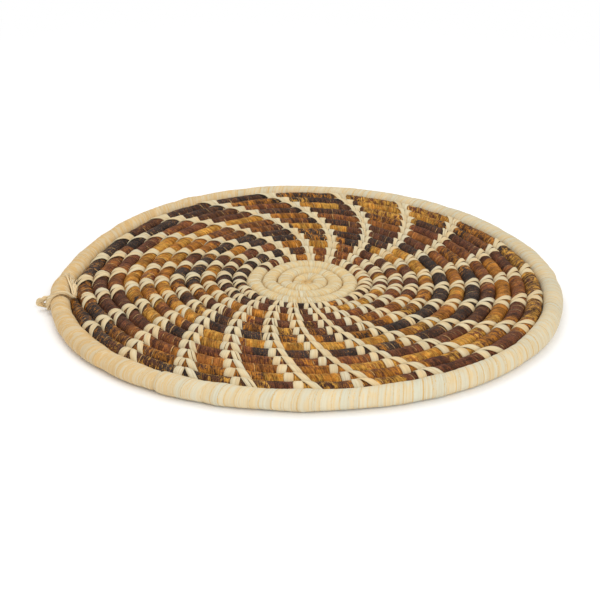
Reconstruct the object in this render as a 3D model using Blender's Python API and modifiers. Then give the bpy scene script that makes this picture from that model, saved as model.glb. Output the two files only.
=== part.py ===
# A coiled wall basket. A grass coil winds outward clockwise, as seen from above, in bark and raffia wraps
# that V-shaped raffia stitches tie row to row, inside a thick wrapped rim with a swinging hanging loop.
# Lengths are in metres and angles in degrees. The basket rests on z = 0, about its middle.
# The hanging loop points along -X, and an azimuth is counted from +X towards +Y.

import bisect
import math

import bmesh
import bpy
from mathutils import Vector

# The coil: its thickness, the space between its rounds, and how many rounds lie in each zone.
COIL_DIAMETER = 0.00907
COIL_GAP = 0.0005
CENTRE_ROUNDS = 4
PATTERNED_ROWS = 12
ROW_START_AZIMUTH = 138.75
KNOT_DIAMETER = 0.0052
KNOT_HEIGHT = 0.0056
START_SHARE = 0.58

# The coil's outer end thins between these shares of the last round, and stops at the third.
TAPER_FROM = 0.850
TAPER_TO = 0.920
END_SHARE = 0.889

# The basket is pulled slightly out of round, with three soft lobes.
LOBE_HEIGHT = 0.0021
LOBE_AZIMUTH = -35

# The rim also lies further in before the hanging loop, where no coil is left inside it.
DENT_DEPTH = 0.0040
DENT_FROM = 110
DENT_FULL = 150
DENT_UNTIL = 161.25
DENT_TO = 176.25

# The underside: a flat foot in the middle, a ring that lifts off, and a slight fall to the rim.
FOOT_RADIUS = 0.030
LIFT_RADIUS = 0.060
LIFT = 0.0023
FALL = 0.0003

# The wraps are sleeves with a bore for the grass, thinnest over the bore's upper edge.
WRAP_WALL = 0.0006
FIT_GAP = 0.0003
WRAP_END_GAP = 0.0004
BLIND_END = 0.0012
LEAST_CORE_RADIUS = 0.0011

# Each rib is one chain of V-shaped stitches, from the centre rounds out to the rim. The maker set them
# by eye: these are the azimuths where each one starts, and then how far it swirls on its way out.
RIB_STARTS = (-126, -113, -99, -87, -69, -52, -34, -19, -1, 15, 32, 53, 73, 94, 110, 128, 146, 164, 178, 191,
              202, 217)
RIB_SWIRLS = (26, 26, 27, 33, 32, 32, 30, 33, 35, 37, 40, 39, 37, 33, 34, 31, 30, 22, 22, 26, 31, 29)
STITCH_THICKNESS = 0.0006
STITCH_WIDTH = 0.0024
STITCH_BARB = 0.0032
STITCH_INSET = 0.0008
LAST_STITCH_REACH = 0.0030

# The rim and its wrap, with the open slot and the core's neck that the hanging loop turns on.
RIM_DIAMETER = 0.0126
RIM_WALL = 0.0010
RIM_STEP = 7.5
NECK_REACH = 0.0070
DOME_REACH = 0.0030
DOME_SHARE = 0.76
SHOULDER_REACH = 0.0010
SHOULDER_SHARE = 0.94

# The hanging loop: a cord bent to a teardrop round the core's neck.
LOOP_CORD = 0.0022
LOOP_PLAY = 0.00035
LOOP_PAST_RIM = 0.0086
LOOP_TIP_RADIUS = 0.0016
LOOP_DROOP = 2.0
RING_STEPS = 14
TIP_STEPS = 6
TAIL_CORD = 0.0007
TAIL_LENGTH = 0.018
TAIL_SPACING = 0.0010
TAIL_STEPS = 3
TAILS = 5

# A loop has 24 points from this round on and 12 inside it, on the same azimuths.
FINE_FROM = 6
FINE_POINTS = 24
COARSE_POINTS = 12

HEXAGON_FLAT = math.cos(math.radians(30))
OCTAGON_FLAT = math.cos(math.radians(22.5))

LAST_ROUND = CENTRE_ROUNDS + PATTERNED_ROWS - 1
MEAN_ROUNDS = LAST_ROUND - 0.5 + (TAPER_FROM + TAPER_TO) / 2
COIL_PITCH = COIL_DIAMETER + COIL_GAP
RIM_RADIUS = RIM_DIAMETER / 2
RIM_HEIGHT = OCTAGON_FLAT * RIM_RADIUS
SLOT_HALF = LOOP_CORD / 2 + LOOP_PLAY

# The loop's ring clears the table under the rim and the core's neck inside it by the fit gap.
RING_RADIUS = RIM_HEIGHT - FIT_GAP - LOOP_CORD / 2
NECK_RADIUS = RING_RADIUS - LOOP_CORD / 2 - FIT_GAP
LEAST_WRAP_RADIUS = (LEAST_CORE_RADIUS + WRAP_WALL + FIT_GAP * math.sqrt(2)) / HEXAGON_FLAT


def polar(radius, azimuth, height):
    """A point at a radius and azimuth round the basket's axis."""
    turn = math.radians(azimuth)
    return Vector((radius * math.cos(turn), radius * math.sin(turn), height))


def smooth_step(value):
    """A soft climb from 0 to 1 as the value goes from 0 to 1."""
    value = min(max(value, 0.0), 1.0)
    return value * value * (3 - 2 * value)


def material(name, colour, roughness):
    """A plain matte plant-fibre material."""
    made = bpy.data.materials.new(name)
    made.use_nodes = True
    shader = made.node_tree.nodes["Principled BSDF"]
    shader.inputs["Base Color"].default_value = (*colour, 1.0)
    shader.inputs["Roughness"].default_value = roughness
    shader.inputs["Metallic"].default_value = 0.0
    return made


def coil_share(azimuth):
    """How far round its round the coil is at an azimuth, from 0 to 1, clockwise from the row start."""
    return ((ROW_START_AZIMUTH - azimuth) / 360) % 1.0


def taper(share):
    """The width of the coil's last stretch there, as a share of a full round."""
    return min(max((TAPER_TO - share) / (TAPER_TO - TAPER_FROM), 0.0), 1.0)


def rounds_across(azimuth):
    """How many coil widths lie between the middle and the rim at an azimuth."""
    share = coil_share(azimuth)
    return LAST_ROUND - 1 + share + taper(share)


def rim_inner_radius(azimuth):
    """The line between the coil and the rim, a circle with three soft lobes and one dent."""
    lobes = LOBE_HEIGHT * math.cos(math.radians(3 * (azimuth - LOBE_AZIMUTH)))
    place = azimuth % 360
    dent = smooth_step((place - DENT_FROM) / (DENT_FULL - DENT_FROM))
    dent *= 1 - smooth_step((place - DENT_UNTIL) / (DENT_TO - DENT_UNTIL))
    return MEAN_ROUNDS * COIL_PITCH + lobes - DENT_DEPTH * dent


def underside_height(radius):
    """Height of the coil's flat underside above the table."""
    climb = LIFT * smooth_step((radius - FOOT_RADIUS) / (LIFT_RADIUS - FOOT_RADIUS))
    outer = MEAN_ROUNDS * COIL_PITCH
    return climb - FALL * smooth_step((radius - LIFT_RADIUS) / (outer - LIFT_RADIUS))


def coil_point(turns):
    """The coil's centre and tube radius after a number of turns, its flat underside at its height."""
    azimuth = ROW_START_AZIMUTH - 360 * turns
    pitch = rim_inner_radius(azimuth) / rounds_across(azimuth)
    outer = pitch * turns
    if turns > LAST_ROUND:
        outer = pitch * (turns - 1 + taper(turns - LAST_ROUND))
    inner = max(pitch * (turns - 1), KNOT_DIAMETER / 2)
    tube = (outer - inner - COIL_GAP) / 2
    radius = (outer + inner) / 2
    height = underside_height(radius) + HEXAGON_FLAT * tube
    return polar(radius, azimuth, height), tube


def coil_turns():
    """The turns at which the coil has a point. A row starts midway along a straight stretch."""
    fine = 1 / FINE_POINTS
    coarse = 1 / COARSE_POINTS
    turns = [START_SHARE]
    place = math.ceil(START_SHARE / coarse) * coarse + fine / 2
    while place < LAST_ROUND + END_SHARE:
        turns.append(place)
        place += fine if place >= FINE_FROM else coarse
    turns.append(LAST_ROUND + END_SHARE)
    return turns


COIL_TURNS = coil_turns()
COIL_POINTS = [coil_point(turns) for turns in COIL_TURNS]


def coil_at(turns):
    """The coil's centre and tube radius anywhere along its straight stretches."""
    place = bisect.bisect_right(COIL_TURNS, turns) - 1
    place = min(max(place, 0), len(COIL_TURNS) - 2)
    share = (turns - COIL_TURNS[place]) / (COIL_TURNS[place + 1] - COIL_TURNS[place])
    start, start_tube = COIL_POINTS[place]
    end, end_tube = COIL_POINTS[place + 1]
    return start.lerp(end, share), start_tube + (end_tube - start_tube) * share


def coil_stretch(first, last):
    """Centres and tube radii from one number of turns to another, with the coil's own points between."""
    inside = [turns for turns in COIL_TURNS if first < turns < last]
    return [coil_at(turns) for turns in [first, *inside, last]]


def turns_along(length, turns):
    """A length along the coil, as turns at that place."""
    return length / (2 * math.pi * coil_at(turns)[0].xy.length)


def core_ends():
    """The turns at which the grass starts and stops, where the wrap is thick enough to hold it."""
    held = [turns for turns, (_, tube) in zip(COIL_TURNS, COIL_POINTS) if tube >= LEAST_WRAP_RADIUS]
    return held[0], held[-1]


def bore_radius(tube):
    """Corner radius of the four-sided bore in a wrap of this tube radius."""
    return HEXAGON_FLAT * tube - WRAP_WALL


def core_radius(tube):
    """Corner radius of the four-sided grass core, clear of its bore."""
    return bore_radius(tube) - FIT_GAP * math.sqrt(2)


def tube_object(name, stretch, resolution, collection, surface=None, tilt=0.0, cyclic=False):
    """A closed mesh tube along centres with their own radii. Resolution 0, 1, 2 has 4, 6, 8 sides."""
    curve = bpy.data.curves.new(name, "CURVE")
    curve.dimensions = "3D"
    curve.twist_mode = "Z_UP"
    curve.bevel_depth = max(radius for _, radius in stretch)
    curve.bevel_resolution = resolution
    curve.use_fill_caps = not cyclic
    spline = curve.splines.new("POLY")
    spline.points.add(len(stretch) - 1)
    spline.use_cyclic_u = cyclic
    for point, (centre, radius) in zip(spline.points, stretch):
        point.co = (*centre, 1.0)
        point.radius = radius / curve.bevel_depth
        point.tilt = math.radians(tilt)
    drawn = bpy.data.objects.new(name + "_curve", curve)
    bpy.context.scene.collection.objects.link(drawn)
    graph = bpy.context.evaluated_depsgraph_get()
    mesh = bpy.data.meshes.new_from_object(drawn.evaluated_get(graph), depsgraph=graph)
    bpy.data.objects.remove(drawn)
    build = bmesh.new()
    build.from_mesh(mesh)
    bmesh.ops.remove_doubles(build, verts=build.verts, dist=0.00001)
    bmesh.ops.recalc_face_normals(build, faces=build.faces)
    build.to_mesh(mesh)
    build.free()
    return mesh_object(name, mesh, collection, surface)


def mesh_object(name, mesh, collection, surface=None):
    """Link a mesh under its node's name, shaded smooth along its round sides."""
    mesh.name = name
    mesh.shade_smooth()
    mesh.set_sharp_from_angle(angle=math.radians(65))
    mesh.materials.clear()
    if surface is not None:
        mesh.materials.append(surface)
    made = bpy.data.objects.new(name, mesh)
    collection.objects.link(made)
    return made


def cut(target, cutter):
    """Take the cutter out of the target, and keep the cutter as a wire guide."""
    cutter.hide_render = True
    cutter.display_type = "WIRE"
    modifier = target.modifiers.new("bore", "BOOLEAN")
    modifier.operation = "DIFFERENCE"
    modifier.solver = "EXACT"
    modifier.object = cutter


def grass_core(collection, surface):
    """The one unbroken grass bundle inside every wrap."""
    stretch = [(centre, core_radius(tube)) for centre, tube in coil_stretch(*core_ends())]
    return tube_object("grass_core", stretch, 0, collection, surface)


def wrap_sleeve(name, first, last, collection, cutters, surface):
    """A hexagonal sleeve along part of the coil, bored for the grass as far as the grass runs."""
    sleeve = tube_object(name, coil_stretch(first, last), 1, collection, surface)
    core_first, core_last = core_ends()
    bore_first = first - turns_along(WRAP_END_GAP, first)
    bore_last = last + turns_along(WRAP_END_GAP, last)
    if first < core_first:
        bore_first = core_first - turns_along(BLIND_END, core_first)
    if last > core_last:
        bore_last = core_last + turns_along(BLIND_END, core_last)
    bore = [(centre, bore_radius(tube)) for centre, tube in coil_stretch(bore_first, bore_last)]
    cut(sleeve, tube_object(name + "_bore", bore, 0, cutters))
    return sleeve


def coil_wraps(collection, cutters, raffia, barks):
    """The natural centre wrap, then one bark wrap for each patterned row, with a small gap between them."""
    trim = turns_along(WRAP_END_GAP / 2, CENTRE_ROUNDS)
    wrap_sleeve("centre_wrap", START_SHARE, CENTRE_ROUNDS - trim, collection, cutters, raffia)
    for row in range(1, PATTERNED_ROWS + 1):
        start = CENTRE_ROUNDS + row - 1
        first = start + turns_along(WRAP_END_GAP / 2, start)
        last = start + 1 - turns_along(WRAP_END_GAP / 2, start + 1)
        if row == PATTERNED_ROWS:
            last = LAST_ROUND + END_SHARE
        surface = barks[row % len(barks)]
        wrap_sleeve(f"bark_wrap_{row:02d}", first, last, collection, cutters, surface)


def centre_knot(collection, surface):
    """The small knot that the coil starts on, which stands flat on the table."""
    bpy.ops.mesh.primitive_cylinder_add(
        vertices=12,
        radius=KNOT_DIAMETER / 2 - FIT_GAP,
        depth=KNOT_HEIGHT,
        location=(0, 0, KNOT_HEIGHT / 2),
    )
    made = bpy.context.object
    made.name = "centre_knot"
    made.data.name = "centre_knot"
    made.data.materials.append(surface)
    for holder in list(made.users_collection):
        holder.objects.unlink(made)
    collection.objects.link(made)
    return made


def rib_crossings(rib):
    """The turns at which a rib crosses the inner edge of row 1 and then each row's outer edge."""
    crossings = [CENTRE_ROUNDS - 1 + coil_share(RIB_STARTS[rib])]
    step = 1 - RIB_SWIRLS[rib] / PATTERNED_ROWS / 360
    while crossings[-1] + step <= LAST_ROUND + TAPER_FROM:
        crossings.append(crossings[-1] + step)
    return crossings


def rib_edge(turns, last):
    """The middle of a rib between a round and the next, clear of the higher crest, and the way outward."""
    centre, tube = coil_at(turns)
    crest = centre.z + HEXAGON_FLAT * tube
    outward = Vector((centre.x, centre.y, 0)).normalized()
    if last:
        place = centre + outward * LAST_STITCH_REACH
    else:
        beyond, beyond_tube = coil_at(turns + 1)
        crest = max(crest, beyond.z + HEXAGON_FLAT * beyond_tube)
        place = (centre + beyond) / 2
    return Vector((place.x, place.y, crest + FIT_GAP)), outward


def stitch_rib(rib, collection, surface):
    """A chain of V stitches: each right leg ends where the next begins, each left leg ends free."""
    build = bmesh.new()
    crossings = rib_crossings(rib)
    half = STITCH_WIDTH / 2
    place, outward = rib_edge(crossings[0], False)
    along = Vector((-outward.y, outward.x, 0))
    low = build.verts.new(place - along * half)
    high = build.verts.new(place + along * half)
    for turns in crossings[1:]:
        start = (low.co + high.co) / 2
        place, outward = rib_edge(turns, turns == crossings[-1])
        along = Vector((-outward.y, outward.x, 0))
        next_low = build.verts.new(place - along * half)
        next_high = build.verts.new(place + along * half)
        crotch = build.verts.new((start + place) / 2 - along * half)
        barb = place - outward * STITCH_INSET - along * (STITCH_BARB - half)
        barb_low = build.verts.new(barb - along * STITCH_WIDTH)
        barb_high = build.verts.new(barb)
        build.faces.new([low, high, crotch])
        build.faces.new([high, next_high, next_low, crotch])
        build.faces.new([low, crotch, barb_high, barb_low])
        low, high = next_low, next_high
    for face in build.faces:
        face.normal_update()
        if face.normal.z < 0:
            face.normal_flip()
    name = f"stitch_rib_{rib + 1:02d}"
    mesh = bpy.data.meshes.new(name)
    build.to_mesh(mesh)
    build.free()
    made = mesh_object(name, mesh, collection, surface)
    solidify = made.modifiers.new("thickness", "SOLIDIFY")
    solidify.thickness = STITCH_THICKNESS
    solidify.offset = 1
    return made


def rim_knot(azimuth):
    """A point of the rim's centreline."""
    return polar(rim_inner_radius(azimuth) + COIL_GAP / 2 + RIM_RADIUS, azimuth, RIM_HEIGHT)


SLOT_SIDES = (rim_knot(180 - RIM_STEP / 2), rim_knot(180 + RIM_STEP / 2))
SLOT_CENTRE = (SLOT_SIDES[0] + SLOT_SIDES[1]) / 2
SLOT_ALONG = (SLOT_SIDES[1] - SLOT_SIDES[0]).normalized()
SLOT_OUTWARD = Vector((SLOT_ALONG.y, -SLOT_ALONG.x, 0))


def rim_line(near_slot):
    """The rim's points once round from the slot, with added points near it at the distances given."""
    steps = round(360 / RIM_STEP)
    line = [SLOT_CENTRE + SLOT_ALONG * reach for reach in near_slot]
    line += [rim_knot(180 + RIM_STEP * (step + 0.5)) for step in range(steps)]
    line += [SLOT_CENTRE - SLOT_ALONG * reach for reach in reversed(near_slot)]
    return line


def neck_share(point):
    """0 on the rim's neck in the slot, and 1 where the core has its full thickness."""
    away = (point - SLOT_CENTRE).length
    neck_end = SLOT_HALF + FIT_GAP
    return min(max((away - neck_end) / (NECK_REACH - neck_end), 0.0), 1.0)


def rim_bore_radius(point):
    """Corner radius of the six-sided bore in the rim's wrap."""
    full = RIM_HEIGHT - RIM_WALL
    neck = NECK_RADIUS + FIT_GAP / HEXAGON_FLAT
    return neck + (full - neck) * neck_share(point)


def rim_core(collection, surface):
    """The rim's grass bundle, once round, with a neck in the slot."""
    line = rim_line([SLOT_HALF + FIT_GAP, NECK_REACH])
    stretch = [(point, rim_bore_radius(point) - FIT_GAP / HEXAGON_FLAT) for point in line]
    return tube_object("rim_core", stretch, 1, collection, surface, cyclic=True)


def rim_wrap(collection, cutters, surface):
    """The rim's raffia wrap, open at the slot, where its two ends are rounded off."""
    line = rim_line([SLOT_HALF, SLOT_HALF + SHOULDER_REACH, SLOT_HALF + DOME_REACH])
    shares = [DOME_SHARE, SHOULDER_SHARE] + [1.0] * (len(line) - 4) + [SHOULDER_SHARE, DOME_SHARE]
    stretch = [(point, RIM_RADIUS * share) for point, share in zip(line, shares)]
    sleeve = tube_object("rim_wrap", stretch, 2, collection, surface, tilt=22.5)
    line = rim_line([SLOT_HALF - FIT_GAP, SLOT_HALF + FIT_GAP, NECK_REACH])
    bore = [(point, rim_bore_radius(point)) for point in line]
    cut(sleeve, tube_object("rim_wrap_bore", bore, 1, cutters))
    return sleeve


def hanging_loop(collection, surface):
    """The cord round the rim's neck, a teardrop in the slot's plane, with its origin on the hinge line."""
    thick = LOOP_CORD / 2
    tip_centre = RIM_RADIUS + LOOP_PAST_RIM - thick - LOOP_TIP_RADIUS
    touch = math.acos((RING_RADIUS - LOOP_TIP_RADIUS) / tip_centre)
    stretch = []
    for step in range(RING_STEPS + 1):
        turn = touch + (2 * math.pi - 2 * touch) * step / RING_STEPS
        stretch.append((Vector((RING_RADIUS * math.cos(turn), 0, RING_RADIUS * math.sin(turn))), thick))
    for step in range(TIP_STEPS + 1):
        turn = -touch + 2 * touch * step / TIP_STEPS
        x = tip_centre + LOOP_TIP_RADIUS * math.cos(turn)
        stretch.append((Vector((x, 0, LOOP_TIP_RADIUS * math.sin(turn))), thick))
    made = tube_object("hanging_loop", stretch, 1, collection, surface, cyclic=True)
    made.location = SLOT_CENTRE
    made.rotation_euler = (0, math.radians(LOOP_DROOP), math.atan2(SLOT_OUTWARD.y, SLOT_OUTWARD.x))
    return made


def loop_tail(tail, collection, surface):
    """One end of the loop's strands, fanned over the outer row and its stitch beside the slot."""
    beside = LAST_ROUND - 1 + coil_share(180)
    around = 2 * math.pi * coil_at(beside)[0].xy.length
    start = beside + (SLOT_HALF + LOOP_CORD) / around
    spread = TAIL_SPACING * (tail - (TAILS - 1) / 2)
    stretch = []
    for step in range(TAIL_STEPS + 1):
        centre, tube = coil_at(start + TAIL_LENGTH * step / TAIL_STEPS / around)
        outward = Vector((centre.x, centre.y, 0)).normalized()
        lift = HEXAGON_FLAT * tube + STITCH_THICKNESS + 2 * FIT_GAP + TAIL_CORD / 2
        stretch.append((centre + outward * spread + Vector((0, 0, lift)), TAIL_CORD / 2))
    return tube_object(f"loop_tail_{tail + 1}", stretch, 0, collection, surface)


def least_coil_gap():
    """The smallest space between one round's points and those of the next, seen from above."""
    least = COIL_PITCH
    for turns, (centre, tube) in zip(COIL_TURNS, COIL_POINTS):
        for other_turns, (other, other_tube) in zip(COIL_TURNS, COIL_POINTS):
            if 0.5 < other_turns - turns < 1.5:
                least = min(least, (other - centre).xy.length - tube - other_tube)
    return least


def main():
    for made in list(bpy.data.objects):
        bpy.data.objects.remove(made)
    basket = bpy.data.collections.new("wall_basket")
    cutters = bpy.data.collections.new("cutters")
    bpy.context.scene.collection.children.link(basket)
    bpy.context.scene.collection.children.link(cutters)

    raffia = material("natural_raffia", (0.72, 0.55, 0.34), 0.75)
    grass = material("dry_grass", (0.50, 0.40, 0.22), 0.85)
    barks = [
        material("near_black_bark", (0.030, 0.024, 0.021), 0.65),
        material("mahogany_bark", (0.120, 0.040, 0.018), 0.65),
        material("mustard_bark", (0.330, 0.180, 0.055), 0.65),
    ]

    grass_core(basket, grass)
    coil_wraps(basket, cutters, raffia, barks)
    centre_knot(basket, raffia)
    for rib in range(len(RIB_STARTS)):
        stitch_rib(rib, basket, raffia)
    rim_core(basket, grass)
    rim_wrap(basket, cutters, raffia)
    hanging_loop(basket, raffia)
    for tail in range(TAILS):
        loop_tail(tail, basket, raffia)
    print(f"Least gap of the coil to itself: {1000 * least_coil_gap():.2f} mm")


main()
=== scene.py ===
import math
import bpy
import numpy as np
from mathutils import Matrix, Vector


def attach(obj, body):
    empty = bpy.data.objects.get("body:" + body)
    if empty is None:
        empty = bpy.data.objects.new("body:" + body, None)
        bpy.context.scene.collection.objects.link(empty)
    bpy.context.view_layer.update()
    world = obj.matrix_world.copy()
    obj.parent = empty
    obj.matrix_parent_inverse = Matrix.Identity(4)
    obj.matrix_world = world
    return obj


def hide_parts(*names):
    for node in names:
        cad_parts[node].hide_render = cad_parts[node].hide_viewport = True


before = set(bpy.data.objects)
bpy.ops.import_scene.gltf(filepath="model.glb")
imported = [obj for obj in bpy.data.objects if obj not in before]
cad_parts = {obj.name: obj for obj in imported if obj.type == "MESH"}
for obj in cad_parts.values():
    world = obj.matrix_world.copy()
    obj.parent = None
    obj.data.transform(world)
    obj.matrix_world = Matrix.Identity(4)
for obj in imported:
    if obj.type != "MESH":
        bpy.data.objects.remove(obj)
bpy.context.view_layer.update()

print("frame loaded")

# Lengths are in metres and angles in degrees. An azimuth is counted from +X towards +Y, a bearing is
# an azimuth counted from the side nearest the camera, and turns count the coil's rounds. Where a
# setting is a tuple, the code that unpacks it says what its numbers are.

# The camera
lens = {"distance": 0.892, "height": 24.75, "side": -101, "roll": 0.496, "aim": 0.00582,
        "picture": 600, "pixels": 1402.19, "middle": (305.87, 282.665), "sensor": 36}


def addCamera():
    # The camera stands at the aim plus its distance along a line that rises by height and points out by
    # side. It looks back along that line, turned about it by the roll. Its lens is pixels over the
    # picture's width times the sensor, and its shift brings the aim to the picture's middle.
    up, out = math.radians(lens["height"]), math.radians(lens["side"])
    back = Vector((math.cos(out) * math.cos(up), math.sin(out) * math.cos(up), math.sin(up)))
    right = Vector((0, 0, 1)).cross(back).normalized()
    turn = Matrix((right, back.cross(right), back)).transposed()
    turn = turn @ Matrix.Rotation(math.radians(lens["roll"]), 3, "Z")
    data = bpy.data.cameras.new("camera")
    data.sensor_width = lens["sensor"]
    data.lens = lens["pixels"] / lens["picture"] * lens["sensor"]
    data.shift_x = (lens["picture"] / 2 - lens["middle"][0]) / lens["picture"]
    data.shift_y = (lens["middle"][1] - lens["picture"] / 2) / lens["picture"]
    camera = bpy.data.objects.new("camera", data)
    camera.location = Vector((0, 0, lens["aim"])) + back * lens["distance"]
    camera.rotation_mode = "QUATERNION"
    camera.rotation_quaternion = turn.to_quaternion()
    bpy.context.scene.collection.objects.link(camera)
    bpy.context.scene.camera = camera


addCamera()
bpy.context.scene.view_settings.view_transform = "Standard"


# Shader maths
class Wire:
    # A node socket that takes part in sums. Plain numbers may stand on either side.
    def __init__(self, tree, socket):
        self.tree = tree
        self.socket = socket

    def node(self, kind, settings, sockets, output=0):
        # Any node: its type, its settings by name, and its input sockets by name or number.
        made = self.tree.nodes.new(kind)
        for name, value in settings.items():
            setattr(made, name, value)
        for name, value in sockets.items():
            if isinstance(value, Wire):
                self.tree.links.new(value.socket, made.inputs[name])
            else:
                made.inputs[name].default_value = value
        return Wire(self.tree, made.outputs[output])

    def maths(self, operation, *values):
        # One Math node, its inputs in the order given.
        return self.node("ShaderNodeMath", {"operation": operation}, dict(enumerate(values)))

    def __add__(self, other):
        return self.maths("ADD", self, other)

    def __radd__(self, other):
        return self.maths("ADD", other, self)

    def __sub__(self, other):
        return self.maths("SUBTRACT", self, other)

    def __rsub__(self, other):
        return self.maths("SUBTRACT", other, self)

    def __mul__(self, other):
        return self.maths("MULTIPLY", self, other)

    def __rmul__(self, other):
        return self.maths("MULTIPLY", other, self)

    def step(self, low, high):
        # A soft step from 0 at the low value to 1 at the high one, which may be the smaller number.
        return self.node("ShaderNodeMapRange", {"interpolation_type": "SMOOTHSTEP"},
                         {"Value": self, "From Min": low, "From Max": high})

    def mix(self, first, second):
        # The first colour where this value is 0 and the second where it is 1.
        return self.node("ShaderNodeMix", {"data_type": "RGBA", "clamp_factor": True},
                         {0: self, 6: first, 7: second}, 2)

    def parts(self):
        # The three parts of a vector.
        made = self.node("ShaderNodeSeparateXYZ", {}, {0: self})
        return [Wire(self.tree, output) for output in made.socket.node.outputs]

    def vector(self, x, y, z):
        # A vector of three values.
        return self.node("ShaderNodeCombineXYZ", {}, {0: x, 1: y, 2: z})

    def noise(self, detail=2.0, roughness=0.5):
        # Noise from 0 to 1 at this point, with one lump per unit.
        return self.node("ShaderNodeTexNoise", {},
                         {"Vector": self, "Scale": 1.0, "Detail": detail, "Roughness": roughness})

    def pick(self):
        # A random number from 0 to 1 for this value's whole part.
        whole = self.maths("FLOOR", self)
        return self.node("ShaderNodeTexWhiteNoise", {"noise_dimensions": "1D"}, {"W": whole})

    def scaled(self, colour):
        # The colour times this value.
        return self.node("ShaderNodeVectorMath", {"operation": "SCALE"}, {0: colour, "Scale": self})


def newMaterial(name, roughness, specular=0.10):
    # A dull material, with its tree's start and its shader.
    made = bpy.data.materials.new(name)
    made.use_nodes = True
    shader = made.node_tree.nodes["Principled BSDF"]
    shader.inputs["Roughness"].default_value = roughness
    shader.inputs["Specular IOR Level"].default_value = specular
    return made, Wire(made.node_tree, None), shader


def attribute(start, name, output=1):
    # A vertex attribute: its colour is output 0, its vector output 1 and its alpha output 3.
    return start.node("ShaderNodeAttribute", {"attribute_name": name}, {}, output)


def finishSurface(start, shader, colour, height, relief):
    # Colour and relief into the shader. The relief is the height in metres that 1 stands for.
    start.tree.links.new(colour.socket, shader.inputs["Base Color"])
    bump = start.node("ShaderNodeBump", {}, {"Height": height, "Distance": relief, "Strength": 1.0})
    start.tree.links.new(bump.socket, shader.inputs["Normal"])


# The bark's grains are noise: lumps per strip along it, lumps across it, offset, detail, roughness.
# Its pairs are the values between which a soft step runs.
barkLook = {"roughness": 0.62, "relief": 0.00035,
            "streaks": (11.0, 0.8, 0.0, 4.0, 0.65), "patches": (0.9, 1.3, 0.0, 2.0, 0.50),
            "fine": (8.0, 1.2, 7.0, 6.0, 0.78), "coarse": (1.9, 1.1, 3.0, 6.0, 0.72),
            "specks": (16.0, 5.0, 3.0, 3.0, 0.70),
            "fineShare": 0.45, "fleckLevel": 0.635, "fleckReach": 0.33, "fleckEdge": 0.012,
            "paleSpecks": ((0.60, 0.63), 0.85, (0.42, 0.17, 0.03, 1)),
            "darkSpecks": ((0.39, 0.36), 0.75, (0.05, 0.028, 0.02, 1)),
            "light": 0.68, "stripLight": 0.48, "streakLight": 3.9, "patchLight": 1.2, "leastLight": 0.30,
            # Painted shade where one strip goes under the next: how much it darkens, and where along the
            # strip.
            "shade": 0.40, "shadeAt": (0.98, 0.86),
            "lapAt": (0.13, 0.02), "lapStrips": (0.55, 0.65), "lapPatches": (0.40, 0.55),
            "lap": 0.8, "lapColour": (0.62, 0.38, 0.15, 1)}


def barkGrain(start, lay, grain):
    # Noise at (along times its lumps plus the offset, across times its lumps, down times the same).
    along, across, down = lay
    longWays, crossWays, offset, detail, roughness = grain
    point = start.vector(along * longWays + offset, across * crossWays, down * crossWays)
    return point.noise(detail, roughness)


def barkMaterial(look):
    # Bark strips: the lay attribute is (strip count, across, down), strip is the ground colour with the
    # share of flecks in its alpha, and fleck is the other colour. Flecks show where the sum of a fine
    # and a coarse grain is over a level that falls with their share. The light is a number for each
    # strip plus the streaks less the patches, and painted shade darkens it where one strip goes under the
    # next. Some strips show a pale edge at the lap, where the patches are bright.
    made, start, shader = newMaterial("bark strips", look["roughness"])
    lay = attribute(start, "lay").parts()
    along = lay[0]
    streaks, patches, fine, coarse, specks = (
        barkGrain(start, lay, look[name]) for name in ("streaks", "patches", "fine", "coarse", "specks"))
    flecks = look["fineShare"] * fine + (1 - look["fineShare"]) * coarse
    level = look["fleckLevel"] - look["fleckReach"] * attribute(start, "strip", 3)
    flecks = flecks.step(level - look["fleckEdge"], level + look["fleckEdge"])
    colour = flecks.mix(attribute(start, "strip", 0), attribute(start, "fleck", 0))
    for between, strength, tone in (look["paleSpecks"], look["darkSpecks"]):
        colour = (strength * specks.step(*between)).mix(colour, tone)
    light = look["light"] + look["stripLight"] * along.pick()
    light = light + look["streakLight"] * (streaks - 0.5) - look["patchLight"] * (patches - 0.5)
    light = light.maths("MAXIMUM", light, look["leastLight"])
    fraction = along.maths("FRACT", along)
    # Painted shade at the lap, where the end of each strip goes under the next.
    light = light * (1 - look["shade"] + look["shade"] * fraction.step(*look["shadeAt"]))
    lap = fraction.step(*look["lapAt"]) * along.pick().step(*look["lapStrips"])
    lap = lap * patches.step(*look["lapPatches"])
    colour = (lap * look["lap"]).mix(colour, look["lapColour"])
    finishSurface(start, shader, light.scaled(colour), streaks, look["relief"])
    return made


# What all the raffia shares. Its pairs are the values between which a soft step runs.
raffiaLook = {"roughness": 0.6, "lines": (0.5, 3.1, 3.0, 0.55), "bands": (0.22, 0.7, 5.3, 4.0, 2.0),
              "tintAt": (0.35, 0.68), "paleAt": (0.62, 0.88), "paleLines": 0.7, "paleStrands": 0.45,
              "darkAt": (0.62, 0.36), "strandShade": 0.10,
              "peach": (0.66, 0.42, 0.17, 1), "peachLeast": 0.50, "peachBands": 0.45,
              "peachAt": (0.45, 0.6), "valleyShade": (0.70, 0.45, 0.18, 1), "valleyShadeAt": (0.55, 1.0),
              "seam": (0.74, 0.46, 0.16, 1), "seamEnds": ((0.15, 0.0), (0.88, 1.0)),
              "seamBands": (0.30, 0.55), "seamLeast": 0.35, "seamShade": 0.08}


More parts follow.
